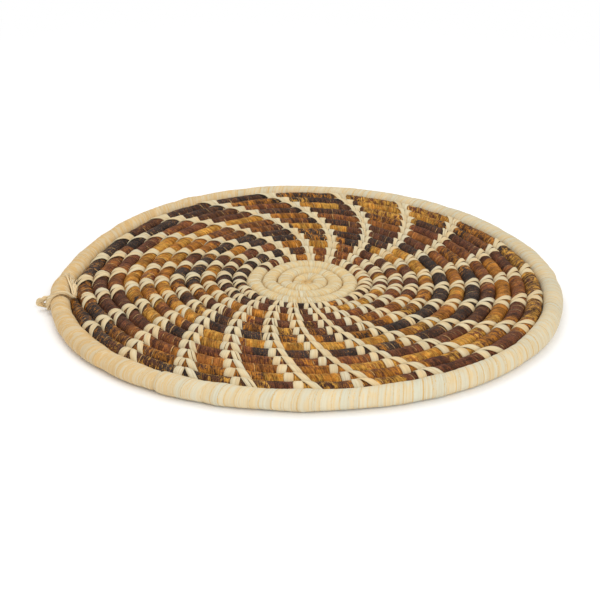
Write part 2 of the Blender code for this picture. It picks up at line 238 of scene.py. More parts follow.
def raffiaMaterial(name, look):
    # Raffia: the lay attribute is (along the fibres, across them, strand number). Lines are the fine
    # fibres, which run along, and bands are broad ones. The colour goes from the first tint to the
    # second with the bands, then to the third with the lines and the strand, and the lines darken it.
    # Some strands turn peach, partly the raffia's own colour and partly painted shade on the rim's left and
    # back, and a share of light is taken between both ends as painted shade on the rim's right. Painted
    # shade tints the grooves between rounds, where the sides are low down, a darker orange. An amber seam
    # lies between two wraps, with a little painted shade in it.
    shared = raffiaLook
    made, start, shader = newMaterial(name, shared["roughness"])
    along, across, strand = attribute(start, "lay").parts()
    fibres = look["fibres"]
    longWays, apart, detail, roughness = shared["lines"]
    lines = start.vector(across * fibres, along * longWays, strand * apart).noise(detail, roughness)
    broader, longWays, apart, offset, detail = shared["bands"]
    bands = start.vector(across * fibres * broader, along * longWays, strand * apart + offset).noise(detail)
    pick = strand.pick()
    first, second, third = ((*tint, 1) for tint in look["tints"])
    colour = bands.step(*shared["tintAt"]).mix(first, second)
    pale = lines * shared["paleLines"] + pick * shared["paleStrands"]
    colour = pale.step(*shared["paleAt"]).mix(colour, third)
    light = 1.0 - look["dark"] * lines.step(*shared["darkAt"]) - shared["strandShade"] * pick
    if "peachAndShade" in look:
        # Peach on two ranges of strands: partly the raffia's own colour, partly painted shade on the rim's
        # left and back.
        peachAndShade = strand.step(*look["peachAndShade"][0]) + strand.step(*look["peachAndShade"][1])
        peachAndShade = peachAndShade * (shared["peachLeast"] + shared["peachBands"] * bands.step(*shared["peachAt"]))
        colour = peachAndShade.mix(colour, shared["peach"])
        # Painted shade: the strands between both ends, on the rim's right side, are darker.
        shadeDepth, before, after = look["sideShade"]
        light = light * (1 - shadeDepth + shadeDepth * strand.step(*before) + shadeDepth * strand.step(*after))
    if "valleyShade" in look:
        # Painted shade: the grooves between rounds, on the tube's sides, turn a darker orange.
        low = look["valleyShade"] * (along * along).step(*shared["valleyShadeAt"])
        colour = low.mix(colour, shared["valleyShade"])
    if "seams" in look:
        fraction = across.maths("FRACT", across)
        seam = fraction.step(*shared["seamEnds"][0]) + fraction.step(*shared["seamEnds"][1])
        seam = look["seams"] * seam * bands.step(*shared["seamBands"])
        seam = seam * (shared["seamLeast"] + (1 - shared["seamLeast"]) * pick)
        colour = seam.mix(colour, shared["seam"])
        # Painted shade darkens the seam between two wraps.
        light = light * (1.0 - shared["seamShade"] * seam)
    finishSurface(start, shader, light.scaled(colour), lines, look["relief"])
    return made


# The coil's path
# It starts at the azimuth start, and its last round ends at the share end. Mean is the rim's inner radius
# in pitches.
coil ={"start": 138.75, "rounds": 15, "patterned": 12, "end": 0.918, "taper": (0.850, 0.920),
        "mean": 15.385, "pitch": 0.00957, "clear": 0.00025, "knot": 0.0026, "least": 0.0028,
        "lobe": 0.0021, "lobes": 3, "lobeAt": -35, "dent": 0.0040, "dentAt": (110, 150, 161.25, 176.25),
        "foot": 0.030, "lift": 0.060, "rise": 0.0023, "fall": 0.0003, "seat": 0.866,
        "flat": 0.82, "table": 0.0001, "curl": 0.1}
rim = {"radius": 0.0063, "height": 0.00582}


def soft(value):
    # 3v^2 - 2v^3, held between 0 and 1.
    value = np.clip(value, 0, 1)
    return value * value * (3 - 2 * value)


def rimInner(azimuth):
    # The rim's inner edge: a circle plus a cosine for the lobes, less a dent beside the loop that comes in
    # over the first two azimuths and goes out over the last two.
    place = np.mod(azimuth, 360)
    begin, full, leave, end = coil["dentAt"]
    dent = soft((place - begin) / (full - begin)) * (1 - soft((place - leave) / (end - leave)))
    lobes = coil["lobe"] * np.cos(np.radians(coil["lobes"] * (azimuth - coil["lobeAt"])))
    return coil["mean"] * coil["pitch"] + lobes - coil["dent"] * dent


def taper(share):
    # The last round's width as a share of a full one: 1 until the taper begins, then straight down to 0.
    low, high = coil["taper"]
    return np.clip((high - share) / (high - low), 0, 1)


def coilAt(turns):
    # Azimuth, radius, height and tube radius. Each round is one pitch wide, and the pitch is the rim's
    # inner radius over the number of rounds there. The rounds touch: a tube fills the width between the
    # inner and the outer radius. Its height is its seat above a foot that rises outward in a soft step.
    azimuth = coil["start"] - 360 * turns
    share = np.mod(turns, 1.0)
    past = turns > coil["rounds"]
    pitch = rimInner(azimuth) / (coil["rounds"] - 1 + share + taper(share))
    inner = np.maximum(pitch * (turns - 1), coil["knot"])
    outer = np.where(past, pitch * (turns - 1 + taper(turns - coil["rounds"])), pitch * turns)
    outer = np.where(past, np.maximum(outer, inner + 2 * coil["least"]), outer)
    tube = (outer - inner) / 2
    radius = (outer + inner) / 2
    edge = coil["mean"] * coil["pitch"]
    under = coil["rise"] * soft((radius - coil["foot"]) / (coil["lift"] - coil["foot"]))
    under = under - coil["fall"] * soft((radius - coil["lift"]) / (edge - coil["lift"]))
    return azimuth, radius, under + coil["seat"] * (tube - coil["clear"]), tube


# Meshes
def meshFrom(name, points, faces, attributes, material, body="basket"):
    # A mesh object from whole arrays, with its named vertex attributes, that rides on a body.
    mesh = bpy.data.meshes.new(name)
    mesh.from_pydata(points, [], faces)
    for key, values in attributes.items():
        values = np.ravel(values).astype(np.float32)
        if key == "lay":
            mesh.attributes.new(key, "FLOAT_VECTOR", "POINT").data.foreach_set("vector", values)
        else:
            mesh.attributes.new(key, "FLOAT_COLOR", "POINT").data.foreach_set("color", values)
    mesh.polygons.foreach_set("use_smooth", [True] * len(mesh.polygons))
    mesh.materials.append(material)
    mesh.update()
    made = bpy.data.objects.new(name, mesh)
    bpy.context.scene.collection.objects.link(made)
    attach(made, body)
    return made


def tubeFaces(stations, around, first=0, loop=False):
    # Quads between rings of points, and one flat face on each open end. A point's number is its ring times
    # the points in a ring, plus its place in the ring.
    ring = np.arange(stations if loop else stations - 1)[:, None]
    spot = np.arange(around)[None, :]
    nextRing, nextSpot = (ring + 1) % stations, (spot + 1) % around
    quads = np.stack([ring * around + spot, nextRing * around + spot,
                      nextRing * around + nextSpot, ring * around + nextSpot], -1)
    faces = (quads.reshape(-1, 4) + first).tolist()
    if not loop:
        faces.append((np.arange(around) + first).tolist())
        faces.append((np.arange(around)[::-1] + first + (stations - 1) * around).tolist())
    return faces


def ringAngles(around):
    # Angles round a tube's section: 0 is the crest and a quarter turn faces outward.
    return np.radians(np.arange(around) * 360 / around)[None, :]


def wander(place, step, seed):
    # A random line from -1 to 1: one knot per step, and a soft step from each knot to the next.
    rng = np.random.default_rng(seed)
    knots = rng.uniform(-1, 1, int(np.max(place) / step) + 3)
    whole = np.floor(place / step).astype(int)
    part = soft(place / step - whole)
    return knots[whole] * (1 - part) + knots[whole + 1] * part


def stripCount(place, width, spread, seed):
    # How many strips have been wound by each place along the coil: their edges are sums of widths that
    # vary by the spread, and the count runs straight from one edge to the next. It starts 1 mm in.
    rng = np.random.default_rng(seed)
    number = int(np.max(place) / width / (1 - spread)) + 4
    edges = np.cumsum(width * rng.uniform(1 - spread, 1 + spread, number))
    return np.interp(place + 1e-3, edges, np.arange(len(edges)))


def coilPoints(turns, around, swell):
    # Rings round the coil: the radius plus the thickness times the sine of the angle, and the height plus
    # the thickness times its cosine. The thickness is the tube's radius plus swell(place, angle). The
    # lower half is pressed flat and stays above the table. Also returns the length along and the angles.
    azimuth, radius, height, tube = (part[:, None] for part in coilAt(turns))
    angle = ringAngles(around)
    steps = np.hypot(np.diff(radius[:, 0]), np.radians(np.diff(azimuth[:, 0])) * radius[1:, 0])
    place = np.concatenate([[0.0], np.cumsum(np.abs(steps))])[:, None]
    thick = tube + swell(place, angle)
    out = radius + thick * np.sin(angle)
    up = thick * np.cos(angle)
    up = height + np.where(up < 0, up * coil["flat"], up)
    up = np.maximum(up, coil["table"] + coil["curl"] * thick * (1 + np.cos(angle)))
    turn = np.radians(azimuth)
    return np.stack([out * np.cos(turn), out * np.sin(turn), up], -1), place, angle


# The bark-wrapped rows
# The bark's colours: soot black, umber, mahogany, chestnut, amber and gold.
barks = {"S": (0.036, 0.026, 0.022), "U": (0.085, 0.034, 0.018), "M": (0.130, 0.042, 0.020),
         "C": (0.26, 0.090, 0.020), "A": (0.39, 0.150, 0.020), "G": (0.50, 0.25, 0.042)}

# The colour of the few flecks in a strip whose word repeats one letter.
stray = {"S": "M", "U": "A", "M": "A", "C": "M", "A": "M", "G": "C"}

# The order in which the strips were wound on each row: a bearing, then the ground and its flecks. A
# small second letter means fewer flecks.
orders = {
    1: "0 SU 10 AU 13 SU 35 AU 50 MU 70 UU 90 AC 115 AC 125 CM 140 MS 155 MC 175 AM 210 MM "
       "235 SM 275 SU 310 MC 330 SU 341 MU 350 SU",
    2: "0 UU 10 UM 15 MA 33 MM 40 GA 60 AM 70 GA 90 MM 101 AG 117 UM 137 MC 180 CC 187 UU "
       "195 SS 240 MU 250 UM 265 SS 275 US 320 UM 335 MU",
    3: "0 MU 8 MC 24 UU 38 MC 52 CM 90 UU 122 MU 143 CU 155 GM 162 GA 184 AA 195 AM 203 MC "
       "217 UM 235 AG 253 AC 270 AA 307 CA 312 AA 323 CA 340 MU",
    4: "0 GA 4 UG 8 MU 24 MC 32 AU 40 CM 56 AC 75 UM 92 MU 110 AG 126 GA 143 SS 159 AU 164 SA "
       "189 SS 220 AA 240 UA 256 SS 291 AU 300 MA 310 MU 327 AM 343 UM",
    5: "0 UA 10 UU 28 UA 42 AA 51 UG 57 AU 80 AC 92 GA 115 UG 120 GA 130 SU 147 SU 172 SA "
       "190 SU 208 SS 240 UM 250 CA 258 SS 273 UA 286 US 300 UG 313 SU 328 UA 345 GU",
    6: "0 AU 6 SU 15 AS 21 SS 56 UA 60 SS 110 SU 132 UM 150 GA 182 SS 186 US 193 CU 200 UC "
       "228 CA 243 AG 260 AC 275 AG 287 AS 300 GA 315 SU 332 SS 347 SA",
    7: "0 GA 24 UG 30 AC 35 GM 50 CA 70 AG 82 CA 98 CM 112 UM 145 UU 163 US 178 UC 192 CU "
       "207 UC 225 AC 240 GA 247 AM 262 MG 275 AM 284 GU 290 CM 303 AC 311 UU 320 GA 327 MA 334 GA",
    8: "0 US 5 SS 12 SA 18 SS 25 AS 34 SU 42 SA 50 SU 68 SS 94 SA 104 UA 115 CM 123 CC 158 CM "
       "178 AC 191 AG 198 GA 250 AG 286 SA 297 GA 307 SU 320 GA 331 MC 339 SS 345 SU 352 US",
    9: "0 MA 5 MC 22 MU 38 MU 57 UU 86 MC 103 CM 123 MM 143 UA 162 US 180 US 200 UM 218 MM "
       "232 AG 239 MU 252 MM 268 CM 280 UM 307 MU 322 MC 355 MG",
    10: "0 CA 9 AC 18 GC 40 GA 60 GM 76 AA 113 UM 130 US 145 GM 163 UU 172 GG 177 AG 186 MC "
        "202 UU 220 MC 240 SS 257 UC 269 CM 281 UM 312 CM 328 CA",
    11: "0 AM 13 AC 20 MU 26 GM 41 AU 57 MA 62 UM 70 MC 77 CM 95 UM 110 CU 122 SA 132 GA "
        "163 SU 180 SG 190 AU 204 SU 222 SS 256 Sa 270 UA 284 Sa 300 UA 318 AU 344 AG",
    12: "0 UM 5 UG 13 UA 20 GM 27 MU 63 MA 72 UG 96 GU 112 SG 118 AU 126 UA 134 GA 141 MG "
        "150 GM 160 UG 172 SA 190 SU 226 UU 240 US 265 Sa 284 SA 300 Sa 318 Ug 333 Sg 345 UG"}
rows = {"around": 22, "step": 0.0007, "strip": 0.0052, "spread": 0.45, "seed": 100, "lean": 0.35,
        "ahead": 0.004, "ridge": 0.00022, "lap": 0.14, "sag": 0.75, "offset": 0.01,
        "lumps": (0.00022, 0.007, 0), "bends": (0.00014, 0.024, 50), "grooves": (0.00012, 0.0011, 90),
        "grooveLean": 0.002, "round": (0.003, 0.001), "flecks": (0.17, 0.27, 0.37),
        "slots": ("near_black_bark", "mahogany_bark", "mustard_bark")}


def fleckShare(word):
    # Few flecks where a letter repeats, some for a small second letter, and many for a capital one.
    few, some, many = rows["flecks"]
    if word[0] == word[1]:
        return few
    return some if word[1].islower() else many


def fleckColour(word):
    # The colour of a word's second letter, or the stray colour where a letter repeats.
    return barks[stray[word[0]] if word[0] == word[1] else word[1].upper()]


def addRow(row, bark):
    # One round of the coil. Each strip rises in a soft step where it laps over the last one, and then
    # sinks straight to the next. Lumps, bends and grooves are random lines along it: depth, step, seed.
    # A strip has the colours of the last word whose bearing is not past its own.
    first, last = coil["rounds"] - coil["patterned"] + row, coil["rounds"] - coil["patterned"] + row + 1
    if row == coil["patterned"]:
        last = coil["rounds"] + coil["end"]
    length = 2 * math.pi * coil["pitch"] * first * (last - first)
    turns = np.linspace(first, last, int(length / rows["step"]))

    def count(place, angle):
        bent = place + rows["strip"] * rows["lean"] * (1 + np.sin(angle)) + rows["ahead"]
        return stripCount(bent, rows["strip"], rows["spread"], rows["seed"] + row)

    def swell(place, angle):
        strips = count(place, angle)
        fraction = strips - np.floor(strips)
        lift = rows["ridge"] * (soft(fraction / rows["lap"]) - rows["sag"] * fraction)
        for name, at in (("lumps", place + rows["offset"]), ("bends", place + rows["offset"]),
                         ("grooves", place + rows["grooveLean"] * (1 + np.sin(angle)))):
            depth, step, seed = rows[name]
            lift = lift + depth * wander(at, step, seed + row)
        return lift

    points, place, angle = coilPoints(turns, rows["around"], swell)
    if row == coil["patterned"]:
        # The coil's end shrinks to its middle as a quarter of a circle does.
        over, least = rows["round"]
        shrink = np.clip((place[-1, 0] - place[:, 0]) / over, least, 1)[:, None, None]
        middle = points.mean(1, keepdims=True)
        points = middle + (points - middle) * np.sqrt(1 - (1 - shrink) ** 2)
    strips = count(place, angle)
    wound = (np.floor(strips) + 0.5) * rows["strip"] / length * (last - first)
    bearing = np.mod(coil["start"] - 360 * (first + wound) - lens["side"], 360)
    words = orders[row].split()
    starts = np.array([float(word) for word in words[0::2]])
    grounds = np.array([(*barks[word[0]], fleckShare(word)) for word in words[1::2]])
    flecks = np.array([(*fleckColour(word), 1.0) for word in words[1::2]])
    which = np.searchsorted(starts, bearing, side="right") - 1
    lay = np.stack([strips, np.sin(angle) + 0 * strips, np.cos(angle) + 0 * strips], -1)
    made = meshFrom(f"bark-row-{row:02d}", points.reshape(-1, 3), tubeFaces(*points.shape[:2]),
                    {"lay": lay, "strip": grounds[which], "fleck": flecks[which]}, bark)
    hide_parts(f"bark_wrap_{row:02d}")


barkSurface = barkMaterial(barkLook)
for row in range(1, coil["patterned"] + 1):
    addRow(row, barkSurface)
print("bark rows")

# The natural centre
centre = {"around": 20, "step": 0.0006, "turns": (0.30, 4.0), "length": 0.42, "strip": 0.0042,
          "spread": 0.3, "seed": 7, "lean": 0.0012, "ridge": 0.00028, "ridgeMiddle": 0.7, "power": 2.7,
          "boxy": 0.0075, "lumps": (0.0003, 0.009, 8)}
knot = {"radius": 0.0056, "tip": 0.00005, "height": 0.0078, "dome": 0.75, "rings": 16, "around": 48,
        "folds": 7, "swirl": 5, "uneven": (1.3, 2), "ripple": 0.04, "foldDepth": 0.0009, "dip": 0.0012,
        "base": (0.8, 0.0002), "along": 2}
wrapRaffia = {"fibres": 10.0, "tints": ((0.70, 0.60, 0.38), (0.73, 0.52, 0.24), (0.73, 0.66, 0.47)),
              "dark": 0.16, "relief": 0.0002, "seams": 1.4, "valleyShade": 0.8}


def addCentre(raffia):
    # The first rounds, wound from the knot outward, with the wraps side by side. Each wrap bulges as the
    # root of a sine, and the section is a superellipse between a circle and a square.
    turns = np.linspace(*centre["turns"], int(centre["length"] / centre["step"]))

    def count(place, angle):
        bent = place + centre["lean"] * (1 + np.sin(angle))
        return stripCount(bent, centre["strip"], centre["spread"], centre["seed"])

    def swell(place, angle):
        strips = count(place, angle)
        fraction = strips - np.floor(strips)
        power = centre["power"]
        square = (np.abs(np.sin(angle)) ** power + np.abs(np.cos(angle)) ** power) ** (-1 / power) - 1
        bulge = centre["ridge"] * (np.sin(np.pi * fraction) ** 0.5 - centre["ridgeMiddle"])
        depth, step, seed = centre["lumps"]
        return bulge + centre["boxy"] * square + depth * wander(place, step, seed)

    points, place, angle = coilPoints(turns, centre["around"], swell)
    strips = count(place, angle)
    lay = np.stack([np.sin(angle) + 0 * strips, strips, np.floor(strips)], -1)
    made = meshFrom("centre-rounds", points.reshape(-1, 3), tubeFaces(*points.shape[:2]),
                    {"lay": lay}, raffia)
    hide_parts("centre_wrap")


def addKnot(raffia):
    # The knot that the coil starts on: a low dome whose radius shrinks straight to the tip and whose
    # height is the root of one less a square, rippled by sine folds that swirl into the middle.
    share = np.linspace(0, 1, knot["rings"])[:, None]
    turn = np.radians(np.arange(knot["around"]) * 360 / knot["around"])[None, :]
    uneven, times = knot["uneven"]
    folds = knot["folds"] * turn + knot["swirl"] * share + uneven * np.sin(times * turn)
    folds = 0.5 + 0.5 * np.sin(folds)
    radius = knot["radius"] * (1 - share) * (1 + knot["ripple"] * folds) + knot["tip"]
    height = knot["height"] * np.sqrt(1 - knot["dome"] * (1 - share) ** 2)
    height = height - knot["foldDepth"] * folds * share ** 0.5 - knot["dip"] * share ** 3
    top = np.stack([radius * np.cos(turn), radius * np.sin(turn), height], -1)
    narrow, low = knot["base"]
    base = top[:1] * np.array([narrow, narrow, 0.0]) + np.array([0, 0, low])
    points = np.concatenate([base, top])
    strands = knot["folds"] * turn / (2 * np.pi) + 0 * share
    lay = np.stack([share * knot["along"] + 0 * turn, strands, 0 * turn + 0 * share], -1)
    lay = np.concatenate([lay[:1], lay])
    made = meshFrom("centre-knot", points.reshape(-1, 3), tubeFaces(*points.shape[:2]),
                    {"lay": lay}, raffia)
    made.data.flip_normals()
    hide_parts("centre_knot")


wrapSurface = raffiaMaterial("raffia wraps", wrapRaffia)
addCentre(wrapSurface)
addKnot(wrapSurface)
print("centre")

# The stitches
# Starts are the ribs' azimuths at the first patterned row, and swirls the degrees that each one turns on
# its way out. Inner and outer are the edges of a leg along it, in widths from the middle of its V.
ribs = {"starts": (-126, -113, -99, -87, -69, -52, -34, -19, -1, 15, 32, 53, 73, 94, 110, 128, 146, 164,
                   178, 191, 202, 217), "seed": 300,
        "swirls": (26, 26, 27, 33, 32, 32, 30, 33, 35, 37, 40, 39, 37, 33, 34, 31, 30, 22, 22, 26, 31, 29),
        "width": (0.0016, 0.026), "inner": ((0, 0.42, 0.60, 0.83, 1), (-0.05, 0.0, 0.14, 0.46, 0.76)),
        "outer": ((0, 0.17, 0.36, 0.50, 0.65, 0.83, 1), (0.48, 0.60, 0.74, 1.08, 1.28, 1.46, 1.56)),
        "blocks": (0.6, (0.040, 0.085)), "blocksAt": (29, 0.5, 0.6),
        "uneven": 0.3, "innerSpread": (0.9, 1.15), "outerSpread": (0.9, 1.10),
        "split": 0.08, "splitAt": (0.35, 0.6), "splitGap": 0.05}
leg = {"stations": 17, "reach": 84, "slant": (0.2, 0.75), "thick": 0.00038, "ends": (0.08, 0.92),
       "round": 0.4, "proud": 0.00030, "over": 0.00030, "overEnd": (0.95, 0.40), "numbers": 200, "along": 2}

# A leg's section: how far out in half widths and how far up in thicknesses.
section = np.array([(-1, 0), (-0.93, 0.85), (-0.4, 1), (0.4, 1), (0.93, 0.85), (1, 0),
                    (0.6, -1.2), (-0.6, -1.2)])


def addLeg(base, turns, low, high, edges, lift, rng):
    # One leg: a leaf-shaped ribbon over the coil, from the inner valley to the outer one. The middle of the
    # V runs from low to high in azimuth, and the edges are metres to the side of it at each station. The
    # section is swept along it, as wide as the edges and as thick as a power of a sine.
    share = np.linspace(0, 1, leg["stations"])
    angle = np.radians(leg["reach"] * (2 * share - 1))
    begin, over = leg["slant"]
    middle = low + (high - low) * np.clip((share - begin) / over, 0, 1)
    place = turns + (coil["start"] - 360 * turns - middle) / 360
    _, radius, height, tube = (part[:, None] for part in coilAt(place))
    first, last = edges
    across, above = section[:, 0][None, :], section[:, 1][None, :]
    side = (first + last)[:, None] / 2 + across * np.abs(last - first)[:, None] / 2
    thick = leg["thick"] * np.sin(np.pi * np.clip(share, *leg["ends"])) ** leg["round"]
    end, over = leg["overEnd"]
    rise = tube + leg["proud"] + lift * soft((end - share[:, None]) / over) + above * thick[:, None]
    out = radius + rise * np.sin(angle)[:, None]
    turn = np.radians(middle)[:, None] + side / radius
    points = np.stack([out * np.cos(turn), out * np.sin(turn), height + rise * np.cos(angle)[:, None]], -1)
    number = rng.uniform(0, leg["numbers"])
    lay = np.stack([share[:, None] * leg["along"] + 0 * side, across + 0 * side, number + 0 * side], -1)
    base["faces"] += tubeFaces(*side.shape, len(base["points"]) * side.size)
    base["points"].append(points.reshape(-1, 3))
    base["lay"].append(lay.reshape(-1, 3))


def addRib(rib, raffia):
    # A chain of Vs. Each has its point in the inner valley, and its right leg ends where the next begins,
    # which is one round on, less the rib's swirl for one row. The width grows straight with the radius.
    # Near the centre, around one azimuth, the legs are wide at the top, like blocks.
    rng = np.random.default_rng(ribs["seed"] + rib)
    base = {"points": [], "faces": [], "lay": []}
    swirl = ribs["swirls"][rib] / coil["patterned"]
    here = coil["rounds"] - coil["patterned"] + np.mod((coil["start"] - ribs["starts"][rib]) / 360, 1.0)
    share = np.linspace(0, 1, leg["stations"])
    while here + 1 - swirl / 360 <= coil["rounds"] + coil["taper"][0]:
        here = here + 1 - swirl / 360
        high = coil["start"] - 360 * here
        low = high - swirl
        radius = coilAt(np.array([here]))[1][0]
        width = ribs["width"][0] + ribs["width"][1] * radius
        most, between = ribs["blocks"]
        azimuth, mean, swing = ribs["blocksAt"]
        blocky = most * np.interp(radius, between, (1, 0))
        blocky *= np.clip(mean + swing * math.cos(math.radians(high - azimuth)), 0, 1)
        low = low + rng.uniform(-ribs["uneven"], ribs["uneven"])
        high = high + rng.uniform(-ribs["uneven"], ribs["uneven"])
        for side, lift in ((-1, 0.0), (1, leg["over"])):
            inner = side * width * rng.uniform(*ribs["innerSpread"]) * np.interp(share, *ribs["inner"])
            outer = side * width * rng.uniform(*ribs["outerSpread"])
            outer = outer * (np.interp(share, *ribs["outer"]) + blocky * (1 - share))
            if rng.uniform() < ribs["split"]:
                # The strand has split in two.
                cut = inner + (outer - inner) * rng.uniform(*ribs["splitAt"])
                gap = side * width * ribs["splitGap"] * share
                addLeg(base, here, low, high, (inner, cut - gap), lift, rng)
                addLeg(base, here, low, high, (cut + gap, outer), lift, rng)
            else:
                addLeg(base, here, low, high, (inner, outer), lift, rng)
    made = meshFrom(f"stitch-rib-{rib + 1:02d}", np.concatenate(base["points"]), base["faces"],
                    {"lay": np.concatenate(base["lay"])}, raffia)
    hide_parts(f"stitch_rib_{rib + 1:02d}")


stitchRaffia = {"fibres": 3.2, "tints": ((0.71, 0.60, 0.38), (0.73, 0.54, 0.29), (0.73, 0.65, 0.46)),
                "dark": 0.14, "relief": 0.00015}
stitchSurface = raffiaMaterial("raffia stitches", stitchRaffia)
for rib in range(len(ribs["starts"])):
    addRib(rib, stitchSurface)
print("stitches")

# The rim
# Slot is half the gap for the loop, at slotAt, and renewed is where the wrapping was begun anew.
rimWrap = {"around": 28, "step": 0.0008, "length": 0.97, "mean": 0.1535, "slot": 0.00145, "slotAt": 180.0,
           "strip": 0.0038, "spread": 0.85, "seed": 21, "lean": 0.0025, "ridge": 0.00010,
           "ridgeMiddle": 0.5, "renewed": 0.126, "notch": (0.0010, 0.0009),
           "thicker": (0.0004, 0.003, 0.05), "lumps": (0.00045, 0.011, 22),
           "grooves": (0.00010, 0.0017, 23), "dome": 0.006, "round": (2.6, 0.02), "flat": 0.86,
           "sides": 1.4}

# Two ranges of strands turn peach, each from where peach begins to where it is full: partly the
# raffia's own peach and partly painted shade on the rim's left and back. The next setting says how much
# lighter the strands are towards both ends, which is painted shade on the rim's right side between them.
rimRaffia = {"fibres": 9.0, "tints": ((0.68, 0.615, 0.445), (0.73, 0.56, 0.31), (0.69, 0.665, 0.51)),
             "dark": 0.06, "relief": 0.00015, "seams": 1.2, "peachAndShade": ((48, 12), (150, 235)),
             "sideShade": (0.07, (120, 60), (140, 190))}


def rimAt(azimuth):
    # The radius of the rim's middle line: its inner edge plus a small gap and the roll's own radius.
    return rimInner(azimuth) + coil["clear"] + rim["radius"]


def addRim(raffia):
    # A thick roll from one side of the loop's slot round to the other. Each wrap bulges as a sine. Where it
    # is renewed it has a notch, a bell curve, and is thicker for a while after. Its ends are domed.
    half = np.degrees(rimWrap["slot"] / rimAt(rimWrap["slotAt"]))
    ends = rimWrap["slotAt"] + half, rimWrap["slotAt"] + 360 - half
    azimuth = np.linspace(*ends, int(rimWrap["length"] / rimWrap["step"]))[:, None]
    radius = rimAt(azimuth)
    place = np.radians(azimuth - azimuth[0]) * rimWrap["mean"]
    angle = ringAngles(rimWrap["around"])
    bent = place + rimWrap["lean"] * (1 + np.sin(angle))
    strips = stripCount(bent, rimWrap["strip"], rimWrap["spread"], rimWrap["seed"])
    fraction = strips - np.floor(strips)
    thick = rim["radius"] + rimWrap["ridge"] * (np.sin(np.pi * fraction) - rimWrap["ridgeMiddle"])
    past = place - rimWrap["renewed"]
    depth, width = rimWrap["notch"]
    thick = thick - depth * np.exp(-(past / width) ** 2)
    more, begin, over = rimWrap["thicker"]
    thick = thick + more * soft(past / begin) * (1 - soft(past / over))
    for name, at in (("lumps", place), ("grooves", bent)):
        depth, step, seed = rimWrap[name]
        thick = thick + depth * wander(at, step, seed)
    shrink = 1 - np.clip(np.minimum(place, place[-1] - place) / rimWrap["dome"], 0, 1)
    power, least = rimWrap["round"]
    thick = thick * np.sqrt(np.clip(1 - shrink ** power, least, 1))
    out = radius + thick * np.sin(angle)
    up = thick * np.cos(angle)
    up = rim["height"] + np.where(up < 0, up * rimWrap["flat"], up)
    turn = np.radians(azimuth)
    points = np.stack([out * np.cos(turn), out * np.sin(turn), np.maximum(up, coil["table"])], -1)
    lay = np.stack([np.sin(angle) * rimWrap["sides"] + 0 * strips, strips, np.floor(strips)], -1)
    made = meshFrom("rim", points.reshape(-1, 3), tubeFaces(*points.shape[:2]), {"lay": lay}, raffia)
    made.data.flip_normals()
    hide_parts("rim_wrap")


addRim(raffiaMaterial("rim raffia", rimRaffia))
print("rim")

# The hanging loop and its tails
loop = {"ring": 0.0049, "past": 0.0086, "tip": 0.0012, "cord": 0.0011, "droop": 2.0,
        "hinge": (176.25, 183.75), "around": 10, "steps": 220, "ringSteps": 150, "tipSteps": 40,
        "strands": 3, "twist": 4.0, "strand": 0.00062, "swell": (0.00030, 0.003),
        "uneven": (0.10, 0.03, 70), "apart": 0.8, "lay": (6, 2, 1.7, 30)}
cordRaffia = {"fibres": 2.0, "tints": ((0.84, 0.67, 0.41), (0.77, 0.54, 0.27), (0.88, 0.76, 0.53)),
              "dark": 0.30, "relief": 0.0003}


def rodAlong(path, radius, around, flat=1.0, roll=0.0):
    # Rings along a path: ellipses across its direction, whose flat side turns by roll from upright.
    ahead = np.gradient(path, axis=0)
    ahead /= np.linalg.norm(ahead, axis=1, keepdims=True)
    side = np.cross(ahead, np.array([[0.0, 0.03, 1.0]]))  # almost upright
    side /= np.linalg.norm(side, axis=1, keepdims=True)
    up = np.cross(side, ahead)
    angle = np.radians(np.arange(around) * 360 / around)[None, :, None]
    turned = np.radians(roll)
    first = (side * np.cos(turned) + up * np.sin(turned))[:, None, :]
    second = (up * np.cos(turned) - side * np.sin(turned))[:, None, :]
    wide = np.asarray(radius).reshape(-1, 1, 1)
    return path[:, None, :] + wide * (first * np.cos(angle) + flat * second * np.sin(angle))


def strandLay(share, around, strand, lay):
    # The lay of a thin strand: the share of its length times the units in it, the point round it over
    # the points in a unit, and the strand times a step plus the first number.
    length, unit, step, first = lay
    number = strand * step + first
    return np.stack([share[:, None] * length + np.zeros((1, around)),
                     np.arange(around)[None, :] / unit + 0 * share[:, None],
                     number + np.zeros((len(share), around))], -1).reshape(-1, 3)


def slotFrame():
    # The slot's middle, the way along the rim from one end of the hinge to the other, and the way outward.
    sides = []
    for azimuth in loop["hinge"]:
        turn = math.radians(azimuth)
        sides.append(np.array([math.cos(turn), math.sin(turn), 0]) * rimAt(azimuth))
    along = sides[1] - sides[0]
    along /= np.linalg.norm(along)
    middle = (sides[0] + sides[1]) / 2 + np.array([0, 0, rim["height"]])
    return middle, along, np.array([along[1], -along[0], 0])


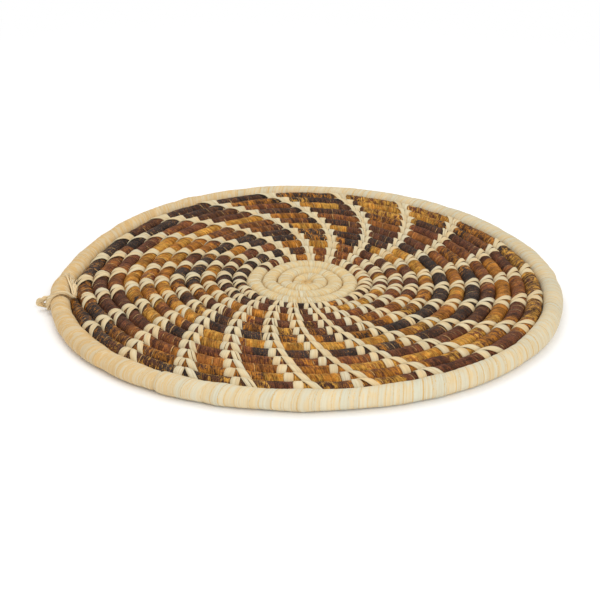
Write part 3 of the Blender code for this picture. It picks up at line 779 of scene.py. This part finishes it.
def addLoop(raffia):
    # A teardrop about the hinge line: most of a circle, two straight sides that touch it, and a small
    # circle at the tip. Strands run round it on a helix, and they are thicker outside the rim.
    middle, along, outward = slotFrame()
    share = np.linspace(0, 1, loop["steps"], endpoint=False)
    far = rim["radius"] + loop["past"] - loop["cord"] - loop["tip"]
    touch = math.acos((loop["ring"] - loop["tip"]) / far)
    ring = np.linspace(touch, 2 * math.pi - touch, loop["ringSteps"], endpoint=False)
    tip = np.linspace(-touch, touch, loop["tipSteps"], endpoint=False)
    outline = [(loop["ring"] * math.cos(a), loop["ring"] * math.sin(a)) for a in ring]
    outline += [(far + loop["tip"] * math.cos(a), loop["tip"] * math.sin(a)) for a in tip]
    outline = np.array(outline + outline[:1])
    length = np.concatenate([[0], np.cumsum(np.hypot(*np.diff(outline, axis=0).T))])
    flat = np.stack([np.interp(share * length[-1], length, outline[:, i]) for i in (0, 1)], -1)
    ahead = np.roll(flat, -1, 0) - np.roll(flat, 1, 0)
    ahead /= np.linalg.norm(ahead, axis=1, keepdims=True)
    droop = math.radians(loop["droop"])
    right = outward * math.cos(droop) - np.array([0, 0, math.sin(droop)])
    high = outward * math.sin(droop) + np.array([0, 0, math.cos(droop)])
    points, faces, lays = [], [], []
    for strand in range(loop["strands"]):
        turn = 2 * math.pi * (loop["twist"] * share + strand / loop["strands"])
        more, over = loop["swell"]
        thick = loop["strand"] + more * soft((flat[:, 0] - rim["radius"]) / over)
        depth, step, seed = loop["uneven"]
        thick = thick * (1 + depth * wander(share + strand, step, seed + strand))
        off = loop["apart"] * thick[:, None] * np.stack([np.cos(turn), np.sin(turn)], -1)
        path = flat[:, :1] * right + flat[:, 1:] * high + middle
        path = path + (ahead[:, 1:] * right - ahead[:, :1] * high) * off[:, :1] + along * off[:, 1:]
        faces += tubeFaces(len(path), loop["around"], len(points) * len(path) * loop["around"], loop=True)
        points.append(rodAlong(path, thick, loop["around"]).reshape(-1, 3))
        lays.append(strandLay(share, loop["around"], strand, loop["lay"]))
    made = meshFrom("hanging-loop", np.concatenate(points), faces, {"lay": np.concatenate(lays)},
                    raffia, "loop")
    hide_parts("hanging_loop")


# Spin is the angle round the rim, beside the distance from the slot's middle and off the distance from
# the rim's middle, each at the knots along the wrapped part.
tails = {"number": 5, "straws": 2, "stations": 70, "around": 8, "seed": 500, "wrapped": 0.55,
         "knots": (0, 0.55, 0.75, 0.9, 1), "spin": (-25, 60, 150, 167, 173),
         "beside": (0.0046, 0.0054, 0.0038, 0.0006, -0.0034),
         "off": (0.0072, 0.0076, 0.0079, 0.0086, 0.0083), "apart": 6.0, "shift": 0.0006,
         "twist": (0.0012, 0.75, 2.2), "reach": (0.0215, 0.75, 1.05), "fan": (0.0085, 0.75, 0.05),
         "bow": 0.0014, "lift": (0.0018, 2, 0.0010, 0.0008), "drape": (0.0076, 6), "radius": 0.00086,
         "point": 0.5, "flat": 0.6, "roll": 20, "lay": (8, 3, 2.3, 60)}


def strawPath(tail, rng):
    # The middle of one straw. First it goes round the rim next to the slot, wound about its neighbours on a
    # helix that tightens. Then it runs free along the rim, fanned out sideways, bowed and lifted a little.
    middle, along, outward = slotFrame()
    share = np.linspace(0, 1, tails["stations"])
    wrapped = np.clip(share / tails["wrapped"], 0, 1)
    free = np.clip((share - tails["wrapped"]) / (1 - tails["wrapped"]), 0, 1)
    half = (tails["number"] - 1) / 2
    fan = (tail - half) / half
    spin = np.interp(wrapped, tails["knots"], tails["spin"]) + tails["apart"] * (fan + 1) / 2 * wrapped
    spin = np.radians(spin)
    wide, tighter, turns = tails["twist"]
    turn = 2 * np.pi * (turns * wrapped + tail / tails["number"])
    tight = wide * (1 - tighter * wrapped)
    off = np.interp(wrapped, tails["knots"], tails["off"]) + tight * np.cos(turn)
    beside = np.interp(wrapped, tails["knots"], tails["beside"]) + tails["shift"] * fan * (1 - wrapped)
    beside = beside + tight * np.sin(turn)
    longest, least, most = tails["reach"]
    beside = beside - longest * rng.uniform(least, most) * free
    spread, slope, mean = tails["fan"]
    side = tails["bow"] * np.sin(np.pi * free) * rng.uniform(-1, 1) - spread * free * (fan * slope + mean)
    rise, quick, arch, lower = tails["lift"]
    lift = rise * soft(free * quick) + arch * np.sin(np.pi * free) - lower * free * fan
    # The rim bends away along its length, by the square of the distance over twice its radius, and the
    # free part is pushed out to the drape's distance from the rim's middle.
    bend = beside ** 2 / (2 * rimAt(rimWrap["slotAt"]))
    far, high = off * np.cos(spin) + side + bend, off * np.sin(spin) + lift
    drape, quick = tails["drape"]
    push = 1 + soft(free * quick) * np.maximum(drape / np.hypot(far, high) - 1, 0)
    path = outward * (far * push - bend)[:, None] + np.array([0, 0, 1.0]) * (high * push)[:, None]
    return share, free, fan, middle + path + along * beside[:, None]


def addTails(raffia):
    # The loop's loose ends, each of a few straws that taper straight to their points.
    for tail in range(tails["number"]):
        points, faces, lays = [], [], []
        for straw in range(tails["straws"]):
            number = tail + straw / tails["straws"]
            rng = np.random.default_rng(tails["seed"] + tail * tails["straws"] + straw)
            share, free, fan, path = strawPath(number, rng)
            radius = tails["radius"] * (1 - tails["point"] * free)
            rings = rodAlong(path, radius, tails["around"], tails["flat"], tails["roll"] * fan)
            faces += tubeFaces(*rings.shape[:2], len(points) * len(share) * tails["around"])
            points.append(rings.reshape(-1, 3))
            lays.append(strandLay(share, tails["around"], number, tails["lay"]))
        made = meshFrom(f"loop-tail-{tail + 1}", np.concatenate(points), faces,
                        {"lay": np.concatenate(lays)}, raffia)
        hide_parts(f"loop_tail_{tail + 1}")


cordSurface = raffiaMaterial("loop raffia", cordRaffia)
addLoop(cordSurface)
addTails(cordSurface)
print("loop and tails")

# The grass inside
grass = {"roughness": 0.85, "lumps": (500, 500, 2000), "relief": 0.0003,
         "dark": (0.30, 0.22, 0.11, 1), "pale": (0.60, 0.48, 0.27, 1)}


def grassMaterial(look):
    # Dry grass: noise lumps in object coordinates, so many to the metre, from the dark colour to the pale.
    made, start, shader = newMaterial("dry grass", look["roughness"])
    x, y, z = start.node("ShaderNodeTexCoord", {}, {}, 3).parts()
    lumps = start.vector(x * look["lumps"][0], y * look["lumps"][1], z * look["lumps"][2]).noise()
    finishSurface(start, shader, lumps.mix(look["dark"], look["pale"]), lumps, look["relief"])
    return made


grassSurface = grassMaterial(grass)
for name in ("grass_core", "rim_core"):
    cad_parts[name].data.materials.clear()
    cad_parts[name].data.materials.append(grassSurface)
print("grass")

# The stage. White is where the floor begins and ends to turn white. A light is its place, size and watts.
stage = {"size": 8, "floor": 0.97, "roughness": 0.9, "white": (0.30, 0.75), "world": 0.82,
         "lights": {"top light": ((-0.25, 0.35, 1.1), 0.9, 3.3),
                    "front light": ((0.3, -1.2, 0.9), 0.8, 7.6)}}


def addFloor():
    # A pale floor that only the camera sees turn white, with a soft step over the distance from the middle.
    bpy.ops.mesh.primitive_plane_add(size=stage["size"], location=(0, 0, 0))
    floor = bpy.context.object
    floor.name = "floor"
    made, start, shader = newMaterial("floor", stage["roughness"], 0.0)
    shader.inputs["Base Color"].default_value = (stage["floor"],) * 3 + (1,)
    x, y, _ = start.node("ShaderNodeTexCoord", {}, {}, 3).parts()
    away = x.maths("SQRT", x * x + y * y)
    seen = start.node("ShaderNodeLightPath", {}, {}, 0)
    plain = Wire(made.node_tree, shader.outputs[0])
    white = start.node("ShaderNodeEmission", {}, {"Color": (1, 1, 1, 1), "Strength": 1.0})
    share = seen * away.step(*stage["white"])
    blend = start.node("ShaderNodeMixShader", {}, {0: share, 1: plain, 2: white})
    made.node_tree.links.new(blend.socket, made.node_tree.nodes["Material Output"].inputs[0])
    floor.data.materials.append(made)


def addSurround():
    # A white surround that lights the basket a little less than the camera sees it shine.
    world = bpy.data.worlds.new("surround")
    bpy.context.scene.world = world
    world.use_nodes = True
    background = world.node_tree.nodes["Background"]
    background.inputs["Color"].default_value = (1, 1, 1, 1)
    start = Wire(world.node_tree, None)
    seen = start.node("ShaderNodeLightPath", {}, {}, 0)
    strength = start.node("ShaderNodeMix", {}, {0: seen, 2: stage["world"], 3: 1.0})
    world.node_tree.links.new(strength.socket, background.inputs["Strength"])


def addLights():
    # One broad light overhead and one in front, both pointed at the middle.
    for name, (place, size, power) in stage["lights"].items():
        data = bpy.data.lights.new(name, "AREA")
        data.size = size
        data.energy = power
        light = bpy.data.objects.new(name, data)
        light.location = place
        light.rotation_euler = (-Vector(place)).to_track_quat("-Z", "Y").to_euler()
        bpy.context.scene.collection.objects.link(light)


addFloor()
addSurround()
addLights()
print("stage")
